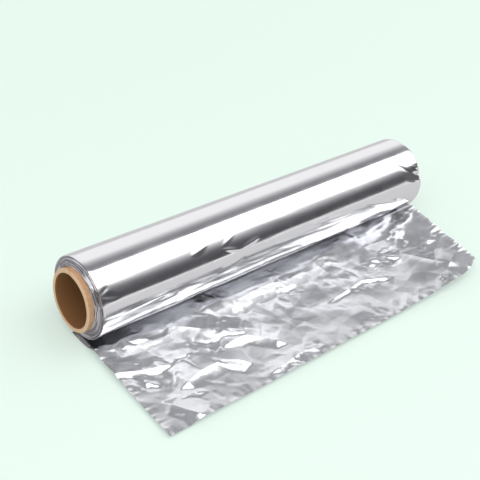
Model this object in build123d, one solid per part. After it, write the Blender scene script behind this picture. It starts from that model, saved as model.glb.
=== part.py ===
from build123d import *
from dataclasses import dataclass
import math
import os
import random

# Household roll of aluminium foil with a length of the web paid out on the table.
# Millimetres. The origin is the middle of the core's bore, +X runs along the roll,
# the paid-out sheet lies towards -Y, and +Z is up.

# Web and wound roll
web_width = 300.0
wound_depth = 5.95          # from the first turn to the last
flat_spot = 0.15            # how far the wound turns are pressed flat where they rest
turn_groups = 8             # bands of turns that show on each end face
turn_step = 0.55            # how far one band stands in or out from the next
rim_round = 0.5             # soft outer corner of the last turn

# Cardboard core
core_bore = 38.0
core_wall = 3.0
core_overhang = 6.0         # core past the foil at each end
core_lip = 0.4              # worn edges of the tube's mouths
seat_clearance = 0.05       # between the tube and the first turn

# Paid-out sheet
sheet_length = 103.0        # from the line under the axis to the cut edge
sheet_gauge = 0.25
sheet_walk = 3.0            # the sheet lies this far past the roll's -X end
facet_size = 4.6            # usual side of one flat facet between folds
edge_rag = 0.5              # nicks along the slit and cut edges
corner_cut = 8.0            # the cut edge runs back this far at the +X corner
corner_run = 30.0           # over this width

# The side at +X is lifted clear of the table
peel_angle = 50.0           # degrees round the roll where the lifted edge leaves it
peel_bend = 9.0             # run over which it bends over after leaving
peel_root = 1.5             # behind that line the sheet runs on this deep among the turns
edge_lift = 13.6
edge_fall = 6.8             # the lifted edge comes down by this towards the cut edge
lift_width_at_roll = 30.0
lift_width_at_cut = 97.0

# Folds of the sheet
fold_rise = 2.0             # height of an ordinary fold
fold_near = 10.0            # width of its flank on the side of the cut edge
fold_far = 16.0             # width of its flank on the roll's side
fold_taper = 7.0            # how far a fold runs out past its ends
fold_start = 7.0            # folds begin this far in front of the axis
fold_begin = 18.0           # and reach their full height over this run
bulge_rise = 1.2            # the sheet bulges this high in front of the roll
bulge_run = 33.0            # this far in front of the axis
bulge_near = 26.0           # and comes down over this run
swell_rise = 1.8            # the cut edge hovers this high over the table
swell_run = 38.0            # and the sheet comes down from it over this run
wave_rise = 0.5             # broad soft waves of a sheet that isn't pulled flat
wave_pitch = 63.0

# Dent in the +X rim of the roll
dent_depth = 1.4
dent_bearing = 31.0         # degrees above the horizontal, on the sheet's side

# Worked out from the above
core_outer = core_bore / 2 + core_wall
core_length = web_width + 2 * core_overhang
turns_inner = core_outer + seat_clearance
roll_radius = turns_inner + wound_depth
table = -(roll_radius - flat_spot)
sheet_left = -web_width / 2 - sheet_walk
sheet_right = sheet_left + web_width


@dataclass
class Fold:
    """A fold line of the sheet that runs through a few points."""

    points: tuple           # in shares of the sheet's width from -X and of its length from the roll
    rise: float = 1.0       # times fold_rise
    near: float = 1.0       # times fold_near
    far: float = 1.0        # times fold_far

    def legs(self, x, run):
        """For each straight leg: start, way, length, and the point's place along and across it."""
        places = [(sheet_left + u * web_width, v * sheet_length) for u, v in self.points]
        for (x0, r0), (x1, r1) in zip(places, places[1:]):
            length = math.hypot(x1 - x0, r1 - r0)
            dx, dr = (x1 - x0) / length, (r1 - r0) / length
            along = (x - x0) * dx + (run - r0) * dr
            across = (x - x0) * dr - (run - r0) * dx
            yield (x0, r0), (dx, dr), length, along, across

    def height(self, x, run):
        """Height that the fold adds at a point of the sheet."""
        best = 0.0
        for _, _, length, along, across in self.legs(x, run):
            past = max(-along, along - length, 0.0)
            flank = fold_far * self.far if across > 0 else fold_near * self.near
            best = max(best, 1.0 - abs(across) / flank - past / fold_taper)
        return self.rise * fold_rise * best

    def snapped(self, x, run):
        """The nearest point of the line, or None where the line is not close by."""
        for (x0, r0), (dx, dr), length, along, across in self.legs(x, run):
            if 0.0 <= along <= length and abs(across) <= 0.42 * facet_size:
                return x0 + dx * along, r0 + dr * along
        return None


# The long folds, from the -X edge to the +X edge
folds = [
    Fold(((0.003, 0.228), (0.043, 0.262), (0.093, 0.272), (0.143, 0.291), (0.193, 0.316)),
         rise=0.9, near=0.8),
    Fold(((0.193, 0.316), (0.227, 0.394), (0.268, 0.485), (0.285, 0.544), (0.313, 0.583)),
         rise=1.35, near=1.1),
    Fold(((0.264, 0.607), (0.310, 0.607), (0.335, 0.668), (0.362, 0.758)), rise=1.2, near=0.8),
    Fold(((0.200, 0.291), (0.227, 0.262), (0.252, 0.255), (0.277, 0.286)), rise=0.5, near=0.4, far=0.6),
    Fold(((0.293, 0.280), (0.327, 0.272), (0.360, 0.328), (0.418, 0.316), (0.481, 0.320)),
         rise=1.3, near=1.25),
    Fold(((0.481, 0.320), (0.518, 0.297), (0.577, 0.320), (0.630, 0.291)), rise=1.3, near=1.2),
    Fold(((0.630, 0.291), (0.680, 0.262), (0.710, 0.233), (0.760, 0.228), (0.790, 0.223)),
         rise=1.1, near=1.05),
    Fold(((0.006, 0.461), (0.043, 0.498), (0.073, 0.528), (0.102, 0.540)),
         rise=0.6, near=0.45, far=0.6),
    Fold(((0.110, 0.544), (0.140, 0.527), (0.168, 0.534)), rise=0.25, near=0.2, far=0.4),
    Fold(((0.114, 0.734), (0.160, 0.704), (0.218, 0.709), (0.252, 0.777)), rise=1.5, near=1.0),
    Fold(((0.052, 0.825), (0.085, 0.990)), rise=1.15, near=0.8, far=0.8),
    Fold(((0.064, 0.816), (0.097, 0.806), (0.118, 0.831)), rise=0.55, near=0.4, far=0.5),
    Fold(((0.302, 0.947), (0.335, 0.941), (0.377, 0.922), (0.422, 0.941)),
         rise=0.65, near=0.45, far=0.5),
    Fold(((0.791, 0.218), (0.840, 0.237), (0.875, 0.214), (0.907, 0.228)), rise=0.4, near=0.3, far=0.4),
    Fold(((0.812, 0.350), (0.853, 0.383), (0.877, 0.417), (0.892, 0.481)),
         rise=0.65, near=1.2, far=0.6),
    Fold(((0.753, 0.495), (0.785, 0.515), (0.820, 0.517), (0.842, 0.518)), rise=0.6, near=0.7, far=0.6),
    Fold(((0.577, 0.650), (0.647, 0.631), (0.689, 0.619), (0.727, 0.661), (0.756, 0.688)),
         rise=0.5, near=0.35),
    Fold(((0.884, 0.343), (0.908, 0.321), (0.947, 0.242), (0.981, 0.203)), rise=0.4, near=0.6, far=0.6),
    Fold(((0.923, 0.857), (1.000, 0.762)), rise=0.45, near=0.9, far=0.7),
]

# The creased V near the +X edge, pressed down
valleys = [
    Fold(((0.867, 0.621), (0.900, 0.776), (0.926, 0.698), (0.967, 0.625), (1.000, 0.592)),
         rise=0.35, near=0.6, far=0.4),
]


def smooth(value):
    """Ease a value from 0 to 1."""
    t = min(1.0, max(0.0, value))
    return t * t * (3.0 - 2.0 * t)


def waves(x, run):
    """Broad soft waves of the sheet, never below zero."""
    turn = 2.0 * math.pi / wave_pitch
    bent = x + 9.0 * math.sin(run * 0.07 + 0.9) + 6.0 * math.sin(x * 0.043 + run * 0.03)
    cross = run + 8.0 * math.sin(x * 0.052 + 2.1) + 4.0 * math.sin(run * 0.09 - x * 0.02)
    total = math.sin(turn * (bent + 0.6 * cross)) + 0.7 * math.sin(turn * (1.7 * cross - 0.6 * bent) + 1.3)
    return wave_rise * (1.7 + total) / 3.4


def bulge(run):
    """The bulge in front of the roll."""
    flank = bulge_near if run > bulge_run else bulge_run - fold_start
    return bulge_rise * max(0.0, 1.0 - abs(run - bulge_run) / flank)


def swell(x, run):
    """The way that the cut edge hovers, running out to both sides."""
    ends = smooth((x - sheet_left) / swell_run) * smooth((sheet_right - x) / swell_run)
    return swell_rise * ends * max(0.0, 1.0 - (sheet_length - run) / swell_run)


def lift(x, run):
    """Height of the underside where the +X side peels up off the table."""
    width = lift_width_at_roll + (lift_width_at_cut - lift_width_at_roll) * run / sheet_length
    share = smooth(1.0 - (sheet_right - x) / width)
    angle = math.radians(peel_angle * share)
    leave_run = roll_radius * math.sin(angle)
    leave_height = max(0.0, -table - roll_radius * math.cos(angle))
    level = share * (edge_lift - edge_fall * max(0.0, run - leave_run) / (sheet_length - leave_run))
    bend = (run - leave_run) / peel_bend
    if bend <= 0.0:
        turn = roll_radius - peel_root * min(1.0, -bend)
        return max(0.0, -table - math.sqrt(turn ** 2 - run ** 2))
    if bend >= 1.0:
        return level
    start_slope = math.tan(angle) * peel_bend
    eased = smooth(bend)
    return leave_height * (1.0 - eased) + level * eased + start_slope * bend * (1.0 - bend) ** 2


def sheet_height(x, run):
    """Height of the sheet's underside above the table."""
    relief = waves(x, run) + bulge(run) + swell(x, run) + max(fold.height(x, run) for fold in folds)
    relief -= sum(valley.height(x, run) for valley in valleys)
    begun = smooth((run - fold_start) / fold_begin)
    return lift(x, run) + begun * max(0.0, relief)


def cut_line(x):
    """Run of the cut edge, which turns back at the +X corner."""
    back = max(0.0, 1.0 - (sheet_right - x) / corner_run)
    return sheet_length - corner_cut * back ** 2


def sheet_grid():
    """Plan places of the sheet's corners, moved on to the folds that pass close by."""
    nicks = random.Random(7)
    columns = round(web_width / facet_size)
    rows = round(sheet_length / facet_size)
    grid = []
    for i in range(columns + 1):
        line = []
        for j in range(rows + 1):
            x = sheet_left + web_width * i / columns
            run = cut_line(x) * j / rows
            if i in (0, columns):
                x += (1.0 if i == 0 else -1.0) * nicks.uniform(0.0, edge_rag)
            elif j == rows:
                run -= nicks.uniform(0.0, edge_rag)
            elif run > fold_start:
                for fold in folds + valleys:
                    x, run = fold.snapped(x, run) or (x, run)
            line.append((x, run))
        grid.append(line)
    return grid


def triangle(a, b, c):
    """One flat facet with its corners in turn."""
    return Face(Wire.make_polygon([a, b, c], close=True))


def quad(a, b, c, d, split_ac):
    """Two facets that fill four corners, split from a to c or from b to d."""
    if split_ac:
        return [triangle(a, b, c), triangle(a, c, d)]
    return [triangle(a, b, d), triangle(b, c, d)]


def make_sheet():
    """The crumpled sheet: facets above and below, one gauge apart, closed by its edges."""
    plan = sheet_grid()
    under = [[Vector(x, -run, table + sheet_height(x, run)) for x, run in line] for line in plan]
    upper = [[point + Vector(0, 0, sheet_gauge) for point in line] for line in under]
    columns, rows = len(plan) - 1, len(plan[0]) - 1
    facets = []
    for i in range(columns):
        for j in range(rows):
            corners = [(i, j), (i, j + 1), (i + 1, j + 1), (i + 1, j)]
            places = [plan[m][n] for m, n in corners]
            heights = [under[m][n].Z - table for m, n in corners]
            middle = sheet_height(sum(p[0] for p in places) / 4, sum(p[1] for p in places) / 4)
            ac = abs((heights[0] + heights[2]) / 2 - middle)
            bd = abs((heights[1] + heights[3]) / 2 - middle)
            facets += quad(*[upper[m][n] for m, n in corners], ac < bd)
            facets += quad(*[under[m][n] for m, n in corners], ac < bd)
    rim = [(i, 0) for i in range(columns)] + [(columns, j) for j in range(rows)]
    rim += [(i, rows) for i in range(columns, 0, -1)] + [(0, j) for j in range(rows, 0, -1)]
    for (a, b), (c, d) in zip(rim, rim[1:] + rim[:1]):
        ring = [under[a][b], under[c][d], upper[c][d], upper[a][b]]
        facets.append(Face(Wire.make_polygon(ring, close=True)))
    return Solid(Shell(facets))


def turn_depth(index):
    """How far a band of turns stands in from the web's edge."""
    return turn_step * (1.0 + math.sin(2.3 * index + 0.6)) if index < turn_groups - 1 else 0.0


def make_wound_turns():
    """The wound turns as one solid, stepped on both ends and pressed flat below."""
    band = wound_depth / turn_groups
    outline = []
    for side in (-1, 1):
        steps = []
        for index in range(turn_groups):
            reach = web_width / 2 - turn_depth(index if side > 0 else turn_groups - 2 - index)
            if index == turn_groups - 1:
                reach = web_width / 2
            steps.append((side * reach, turns_inner + band * index))
            steps.append((side * reach, turns_inner + band * (index + 1)))
        outline += steps if side < 0 else steps[::-1]
    with BuildPart() as turns:
        with BuildSketch(Plane.XY):
            with BuildLine():
                Polyline(*outline, close=True)
            make_face()
        revolve(axis=Axis.X)
        rims = turns.edges().filter_by(GeomType.CIRCLE).sort_by(lambda edge: edge.radius)[-2:]
        fillet(rims, min(rim_round, 0.7 * band))
        with Locations((0, 0, table)):
            Box(2 * web_width, 2 * roll_radius, 2 * roll_radius, mode=Mode.SUBTRACT,
                align=(Align.CENTER, Align.CENTER, Align.MAX))
    return turns.part


def dent_cuts():
    """Three flat cuts that meet in the dent on the +X rim."""
    cuts = []
    for swing, tilt, share in ((-9.0, 24.0, 0.7), (2.0, 40.0, 1.0), (13.0, 19.0, 0.6)):
        bearing = math.radians(dent_bearing + swing)
        outward = Plane(
            origin=(web_width / 2, 0, 0),
            x_dir=(1, 0, 0),
            z_dir=(0, -math.cos(bearing), math.sin(bearing)),
        )
        face = outward.offset(roll_radius - share * dent_depth).rotated((0, tilt, 0))
        block = Box(web_width / 4, roll_radius, roll_radius, align=(Align.CENTER, Align.CENTER, Align.MIN))
        cuts.append(face * block)
    return cuts


def make_foil():
    """The whole web: wound turns with the paid-out sheet running from under them."""
    turns = make_wound_turns()
    for cut in dent_cuts():
        turns -= cut
    return turns + make_sheet()


def make_core():
    """The cardboard tube that the web is wound on, with worn edges at its mouths."""
    with BuildPart() as core:
        Cylinder(core_outer, core_length, rotation=(0, 90, 0))
        Cylinder(core_bore / 2, core_length, rotation=(0, 90, 0), mode=Mode.SUBTRACT)
        chamfer(core.edges().filter_by(GeomType.CIRCLE), core_lip)
    return core.part


os.makedirs("parts", exist_ok=True)
export_step(make_foil(), "parts/foil.step")
export_step(make_core(), "parts/core_tube.step")
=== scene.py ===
"""Household roll of aluminium foil with a crumpled length paid out on a table.

The web is wound on a cardboard tube along X, and the sheet lies towards -Y. Sizes of the pieces
are in millimetres, and the finished meshes and the studio are in metres.
"""

import logging
import math
from dataclasses import dataclass
from enum import Enum
from typing import Any, Sequence

import bpy
import numpy as np
from mathutils import Matrix, Vector
from mathutils.geometry import delaunay_2d_cdt


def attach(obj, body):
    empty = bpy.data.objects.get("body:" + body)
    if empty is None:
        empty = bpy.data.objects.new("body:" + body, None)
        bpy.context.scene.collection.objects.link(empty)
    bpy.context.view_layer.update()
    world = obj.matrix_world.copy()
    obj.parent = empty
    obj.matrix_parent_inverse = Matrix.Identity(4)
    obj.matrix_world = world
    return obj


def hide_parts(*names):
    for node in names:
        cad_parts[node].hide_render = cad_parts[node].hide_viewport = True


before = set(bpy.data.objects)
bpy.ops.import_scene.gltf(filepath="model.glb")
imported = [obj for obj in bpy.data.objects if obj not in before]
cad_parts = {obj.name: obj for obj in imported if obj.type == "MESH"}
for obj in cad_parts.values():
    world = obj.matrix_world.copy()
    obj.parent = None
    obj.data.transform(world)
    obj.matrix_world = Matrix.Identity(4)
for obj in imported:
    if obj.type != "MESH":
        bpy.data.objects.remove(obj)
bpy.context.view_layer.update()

MM = 0.001
# Shares by which the tube and the first turns are pressed oval, front to back and in height.
OVAL_Y = 0.075
OVAL_Z = 0.012
LOG = logging.getLogger("foil_roll")


class Side(Enum):
    """The two faces that the last rolling pass leaves on the foil."""

    BRIGHT = "bright"
    MATT = "matt"


def linear(hex_colour: str) -> tuple[float, float, float, float]:
    """Turn an sRGB hex colour into linear RGBA.

    Args:
        hex_colour: Six hex digits, with or without a leading hash.

    Returns:
        Linear red, green and blue, with an alpha of one.
    """
    digits = hex_colour.lstrip("#")
    parts = [int(digits[i:i + 2], 16) / 255.0 for i in (0, 2, 4)]
    r, g, b = [c / 12.92 if c <= 0.04045 else ((c + 0.055) / 1.055) ** 2.4 for c in parts]
    return r, g, b, 1.0


def add(
    tree: bpy.types.NodeTree, kind: str, inputs: dict[Any, Any] | None = None,
    stops: Sequence[tuple[float, str]] = (), **settings: Any,
) -> bpy.types.Node:
    """Add a node to a tree.

    Args:
        tree: The tree that takes the node.
        kind: The node's type name.
        inputs: Input name or number to a plain value, or to the socket or node that feeds it. A
            node feeds it from its first output that is in use.
        stops: Position and sRGB hex colour of each stop of a colour ramp, in order.
        settings: Attributes set on the node before its inputs.

    Returns:
        The new node.
    """
    node = tree.nodes.new(kind)
    for name, value in settings.items():
        setattr(node, name, value)
    for key, value in (inputs or {}).items():
        if isinstance(value, bpy.types.Node):
            value = next(socket for socket in value.outputs if socket.enabled)
        if isinstance(value, bpy.types.NodeSocket):
            tree.links.new(value, node.inputs[key])
        else:
            node.inputs[key].default_value = value
    if stops:
        elements = node.color_ramp.elements
        while len(elements) < len(stops):
            elements.new(0.5)
        for element, (position, colour) in zip(elements, stops):
            element.position = position
            element.color = linear(colour)
    return node


def new_material(name: str) -> tuple[bpy.types.Material, bpy.types.NodeTree, bpy.types.NodeSocket]:
    """Make an empty node material.

    Args:
        name: The material's name.

    Returns:
        The material, its cleared node tree, and the socket of Object coordinates in it.
    """
    material = bpy.data.materials.new(name)
    material.use_nodes = True
    tree = material.node_tree
    tree.nodes.clear()
    return material, tree, add(tree, "ShaderNodeTexCoord").outputs["Object"]


@dataclass(frozen=True)
class FoilFinish:
    """Cold-rolled aluminium foil.

    Two webs pass the last mill together: the side against the steel roll comes out bright, and
    the side against the other web comes out matt. Fine rolling lines run along the web.

    Attributes:
        side: Which face this is.
        tint: sRGB colour of the reflection.
        roughness: Mean roughness.
        spread: How far the roughness wanders.
        line_mm: Spacing of the rolling lines, drawn coarser than the real 0.05 mm so they show.
        line_relief_mm: Height of the rolling lines.
        dimple_mm: Size of the soft dimples from handling.
        dimple_relief_mm: Depth of the dimples.
        line_stretch: How many times longer than wide a rolling line is.
        cloud_mm: Size of the areas of more and less gloss.
    """

    side: Side
    tint: str
    roughness: float
    spread: float
    line_mm: float
    line_relief_mm: float
    dimple_mm: float
    dimple_relief_mm: float
    line_stretch: float = 60.0
    cloud_mm: float = 18.0

    def material(self) -> bpy.types.Material:
        """Build the material: a metal with rolling lines, dimples and an uneven gloss.

        Returns:
            The material.
        """
        material, tree, place = new_material(f"aluminium_foil_{self.side.value}")
        across = 1.0 / (self.line_mm * MM)
        along = across / self.line_stretch
        stretched = add(tree, "ShaderNodeMapping", {"Vector": place, "Scale": (across, along, along)})
        lines = add(tree, "ShaderNodeTexNoise", {
            "Vector": stretched, "Scale": 1.0, "Detail": 3.0, "Roughness": 0.6,
        })
        dimples = add(tree, "ShaderNodeTexNoise", {
            "Vector": place, "Scale": 1.0 / (self.dimple_mm * MM), "Detail": 2.0, "Roughness": 0.5,
        })
        clouds = add(tree, "ShaderNodeTexNoise", {
            "Vector": place, "Scale": 1.0 / (self.cloud_mm * MM), "Detail": 3.0, "Roughness": 0.55,
        })
        gloss = add(tree, "ShaderNodeMapRange", {
            "Value": clouds, "From Min": 0.3, "From Max": 0.7,
            "To Min": self.roughness - self.spread, "To Max": self.roughness + self.spread,
        })
        pressed = add(tree, "ShaderNodeBump", {
            "Height": dimples, "Distance": self.dimple_relief_mm * MM, "Strength": 1.0,
        })
        lined = add(tree, "ShaderNodeBump", {
            "Height": lines, "Distance": self.line_relief_mm * MM, "Strength": 1.0, "Normal": pressed,
        })
        shader = add(tree, "ShaderNodeBsdfPrincipled", {
            "Base Color": linear(self.tint), "Metallic": 1.0, "Roughness": gloss, "Normal": lined,
        })
        add(tree, "ShaderNodeOutputMaterial", {"Surface": shader})
        return material


@dataclass(frozen=True)
class TurnEdgeFinish:
    """The slit edges of the wound turns: bare cut metal, with painted shade for the gaps between loose
    turns and painted highlights on proud edges.

    Attributes:
        bright: sRGB colour of an edge that stands proud, a painted highlight.
        grey: sRGB colour of most edges.
        dark: sRGB colour of an edge that lies deep, painted shade of the gap between loose turns.
        roughness: Roughness of the cut.
        turn_mm: Usual width of a band of turns that look alike.
        waver_mm: Size of the places where the bands leave a true circle.
        waver: How many bands' width they leave it by.
        swell_mm: Size of the soft waves round the end.
        swell_relief_mm: Height of those waves.
    """

    bright: str = "#FAFAFD"
    grey: str = "#BDBDC4"
    dark: str = "#4C4C53"
    roughness: float = 0.30
    turn_mm: float = 0.62
    waver_mm: float = 9.0
    waver: float = 1.6
    swell_mm: float = 7.0
    swell_relief_mm: float = 0.9

    def material(self) -> bpy.types.Material:
        """Build the material: a soft metal whose brightness changes from turn to turn, with painted shade
        and painted highlights in its bands.

        Returns:
            The material.
        """
        material, tree, place = new_material("aluminium_foil_slit_edges")
        parts = add(tree, "ShaderNodeSeparateXYZ", {"Vector": place}).outputs
        across = add(tree, "ShaderNodeCombineXYZ", {"Y": parts["Y"], "Z": parts["Z"]})
        radius = add(tree, "ShaderNodeVectorMath", {0: across}, operation="LENGTH")
        waver = add(tree, "ShaderNodeTexNoise", {
            "Vector": place, "Scale": 1.0 / (self.waver_mm * MM), "Detail": 1.0,
        })
        turn = add(tree, "ShaderNodeMath", {0: radius, 1: 1.0 / (self.turn_mm * MM)}, operation="MULTIPLY")
        shift = add(tree, "ShaderNodeMath", {0: waver, 1: self.waver}, operation="MULTIPLY")
        band = add(tree, "ShaderNodeMath", {0: turn, 1: shift}, operation="ADD")
        bands = add(tree, "ShaderNodeTexNoise", {
            "W": band, "Scale": 1.0, "Detail": 2.0, "Roughness": 0.7,
        }, noise_dimensions="1D")
        # The ramp paints shade onto the deep turns and highlights onto the proud ones. The bands follow
        # noise, not the turns' real depth.
        tone = add(tree, "ShaderNodeValToRGB", {"Fac": bands}, stops=(
            (0.36, self.dark), (0.44, self.grey), (0.54, self.grey), (0.62, self.bright)))
        swell = add(tree, "ShaderNodeTexNoise", {
            "Vector": place, "Scale": 1.0 / (self.swell_mm * MM), "Detail": 2.0,
        })
        bump = add(tree, "ShaderNodeBump", {"Height": swell, "Distance": self.swell_relief_mm * MM})
        shader = add(tree, "ShaderNodeBsdfPrincipled", {
            "Base Color": tone, "Metallic": 1.0, "Roughness": self.roughness, "Normal": bump,
        })
        add(tree, "ShaderNodeOutputMaterial", {"Surface": shader})
        return material


@dataclass(frozen=True)
class CardboardFinish:
    """Spirally wound core board: smooth tan outside, with painted shade darkening the bore.

    Attributes:
        pale: sRGB colour of the lighter fibres.
        tan: sRGB colour of the board.
        cut: sRGB colour of the cut mouths.
        bore_shade: sRGB colour painted into the bore as the shade inside the tube.
        line: sRGB colour of the lines between the plies and of the seam.
        fibre_mm: Length of a fibre fleck, drawn coarser than the real 0.5 mm.
        fibre_relief_mm: Height of the fibres.
        wall_mm: Thickness of the wall.
        bore_mm: Radius of the bore.
        bore_edge_mm: How far outside that radius the bore's painted shade starts to fade, and is gone.
        mouth_mm: How far the mouths lie from the middle.
        mouth_edge_mm: How far short of them the cut colour starts, and is full.
        plies: Count of plies that show on a mouth; the real board has a few more.
        ply_line: Width of the line between two plies, in plies, and its strength.
        seam_pitch_mm: How far the spiral seam moves along the tube in one turn.
        seam_line: Width of the seam's line, in turns, and its strength.
    """

    pale: str = "#D6AD88"
    tan: str = "#C2936C"
    cut: str = "#E0BC9B"
    bore_shade: str = "#996C41"
    line: str = "#8F6643"
    fibre_mm: float = 1.1
    fibre_relief_mm: float = 0.05
    wall_mm: float = 3.0
    bore_mm: float = 19.0
    bore_edge_mm: tuple[float, float] = (0.12, 0.30)
    mouth_mm: float = 156.0
    mouth_edge_mm: tuple[float, float] = (0.75, 0.45)
    plies: int = 3
    ply_line: tuple[float, float] = (0.10, 0.5)
    seam_pitch_mm: float = 70.0
    seam_line: tuple[float, float] = (0.008, 0.35)

    def material(self) -> bpy.types.Material:
        """Build the material: soft fibres, painted shade in the bore, ply lines on the mouths and a spiral
        seam.

        Returns:
            The material.
        """
        material, tree, place = new_material("kraft_core_board")
        parts = add(tree, "ShaderNodeSeparateXYZ", {"Vector": place}).outputs
        # The scale undoes the oval, so that the plies follow the pressed tube.
        rounded = add(tree, "ShaderNodeMapping", {
            "Vector": place, "Scale": (0.0, 1.0 / (1.0 - OVAL_Y), 1.0 / (1.0 - OVAL_Z)),
        })
        radius = add(tree, "ShaderNodeVectorMath", {0: rounded}, operation="LENGTH")
        stretched = add(tree, "ShaderNodeMapping", {"Vector": place, "Scale": (0.5, 1.6, 1.6)})
        fibres = add(tree, "ShaderNodeTexNoise", {
            "Vector": stretched, "Scale": 1.0 / (self.fibre_mm * MM), "Detail": 4.0, "Roughness": 0.6,
        })
        colour = add(tree, "ShaderNodeValToRGB", {"Fac": fibres}, stops=(
            (0.34, self.tan), (0.66, self.pale)))

        # Painted shade: the bore gets a darker brown that stands in for the shade inside the tube.
        fade, gone = self.bore_edge_mm
        bore_shade_share = add(tree, "ShaderNodeMapRange", {
            "Value": radius, "From Min": (self.bore_mm + fade) * MM, "From Max": (self.bore_mm + gone) * MM,
            "To Min": 1.0, "To Max": 0.0,
        })
        start, full = self.mouth_edge_mm
        out = add(tree, "ShaderNodeMath", {0: parts["X"]}, operation="ABSOLUTE")
        at_mouth = add(tree, "ShaderNodeMapRange", {
            "Value": out, "From Min": (self.mouth_mm - start) * MM, "From Max": (self.mouth_mm - full) * MM,
        })

        into_wall = add(tree, "ShaderNodeMapRange", {
            "Value": radius, "From Min": self.bore_mm * MM,
            "From Max": (self.bore_mm + self.wall_mm) * MM, "To Min": 0.0, "To Max": float(self.plies),
        })
        between = add(tree, "ShaderNodeMath", {0: into_wall, 1: 0.5}, operation="PINGPONG")
        angle = add(tree, "ShaderNodeMath", {0: parts["Z"], 1: parts["Y"]}, operation="ARCTAN2")
        swing = add(tree, "ShaderNodeMath", {0: angle, 1: 0.5 / math.pi}, operation="MULTIPLY")
        advance = add(tree, "ShaderNodeMath", {
            0: parts["X"], 1: 1.0 / (self.seam_pitch_mm * MM),
        }, operation="MULTIPLY")
        turn = add(tree, "ShaderNodeMath", {0: advance, 1: swing}, operation="ADD")
        wrapped = add(tree, "ShaderNodeMath", {0: turn, 1: 1.0}, operation="PINGPONG")
        ply_line, seam = (
            add(tree, "ShaderNodeMapRange", {
                "Value": value, "From Min": 0.0, "From Max": width, "To Min": strength, "To Max": 0.0,
            }) for value, (width, strength) in ((between, self.ply_line), (wrapped, self.seam_line)))
        in_wall = add(tree, "ShaderNodeMath", {
            0: radius, 1: (self.bore_mm + self.wall_mm - 0.5) * MM,
        }, operation="LESS_THAN")
        plies = add(tree, "ShaderNodeMath", {0: in_wall, 1: ply_line}, operation="MULTIPLY")
        lines = add(tree, "ShaderNodeMath", {0: plies, 1: seam}, operation="MAXIMUM")

        # Over the fibres go the cut colour of the mouths, the bore's painted shade, and the ply and seam
        # lines.
        for factor, over in ((at_mouth, self.cut), (bore_shade_share, self.bore_shade), (lines, self.line)):
            colour = add(tree, "ShaderNodeMix", {
                "Factor": factor, "A": colour, "B": linear(over),
            }, data_type="RGBA")
        bump = add(tree, "ShaderNodeBump", {
            "Height": fibres, "Distance": self.fibre_relief_mm * MM, "Strength": 0.6,
        })
        shader = add(tree, "ShaderNodeBsdfPrincipled", {
            "Base Color": colour, "Roughness": 0.7, "Specular IOR Level": 0.3, "Normal": bump,
        })
        add(tree, "ShaderNodeOutputMaterial", {"Surface": shader})
        return material


def smooth(value: np.ndarray) -> np.ndarray:
    """Ease values from 0 to 1."""
    t = np.clip(value, 0.0, 1.0)
    return t * t * (3.0 - 2.0 * t)


def mesh_piece(
    name: str, points: np.ndarray, faces: np.ndarray, crease: float | None = 60.0,
    creased: np.ndarray | None = None,
) -> bpy.types.Object:
    """Make a mesh object from arrays.

    Args:
        name: The piece's name.
        points: Vertex places in metres, one row each.
        faces: Vertex numbers of each face, one row each.
        crease: Degrees between faces from which their edge stays sharp, or None for flat faces.
        creased: Flags of the vertices whose edges may stay sharp, or None for all.

    Returns:
        The linked object.
    """
    mesh = bpy.data.meshes.new(name)
    mesh.from_pydata(points.tolist(), [], faces.tolist())
    mesh.validate()
    mesh.polygons.foreach_set("use_smooth", [crease is not None] * len(mesh.polygons))
    if crease is not None:
        mesh.set_sharp_from_angle(angle=math.radians(crease))
    if creased is not None:
        ends = np.empty(len(mesh.edges) * 2, dtype=np.int32)
        sharp = np.empty(len(mesh.edges), dtype=bool)
        mesh.edges.foreach_get("vertices", ends)
        mesh.edges.foreach_get("use_edge_sharp", sharp)
        mesh.edges.foreach_set("use_edge_sharp", sharp & creased[ends.reshape(-1, 2)].all(axis=1))
    mesh.update()
    piece = bpy.data.objects.new(name, mesh)
    bpy.context.collection.objects.link(piece)
    return piece


def grid_faces(
    columns: int, rows: int, first: int = 0, wrap_rows: bool = False, flip: bool = False,
) -> np.ndarray:
    """Number the faces of a grid of vertices stored column by column.

    Args:
        columns: Count of vertex columns.
        rows: Count of vertices in one column.
        first: Number of the grid's first vertex.
        wrap_rows: Whether the last vertex of a column joins its first.
        flip: Whether the faces turn the other way.

    Returns:
        One row of four vertex numbers for each face.
    """
    i, j = np.meshgrid(np.arange(columns - 1), np.arange(rows if wrap_rows else rows - 1), indexing="ij")
    k = (j + 1) % rows
    near, far = i * rows, (i + 1) * rows
    faces = np.stack([near + j, near + k, far + k, far + j], -1).reshape(-1, 4) + first
    return faces[:, ::-1] if flip else faces


def inner_numbers(start: float, end: float, step: float, count: int) -> np.ndarray:
    """Number the grid lines that lie between two places, without the first and the last line.

    Args:
        start: One place, from the first line.
        end: The other place, from the first line.
        step: Distance from one line to the next.
        count: Count of lines.

    Returns:
        The numbers, rising.
    """
    low, high = sorted((start, end))
    return np.arange(max(1, math.ceil(low / step)), min(count - 2, math.floor(high / step)) + 1)


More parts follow.
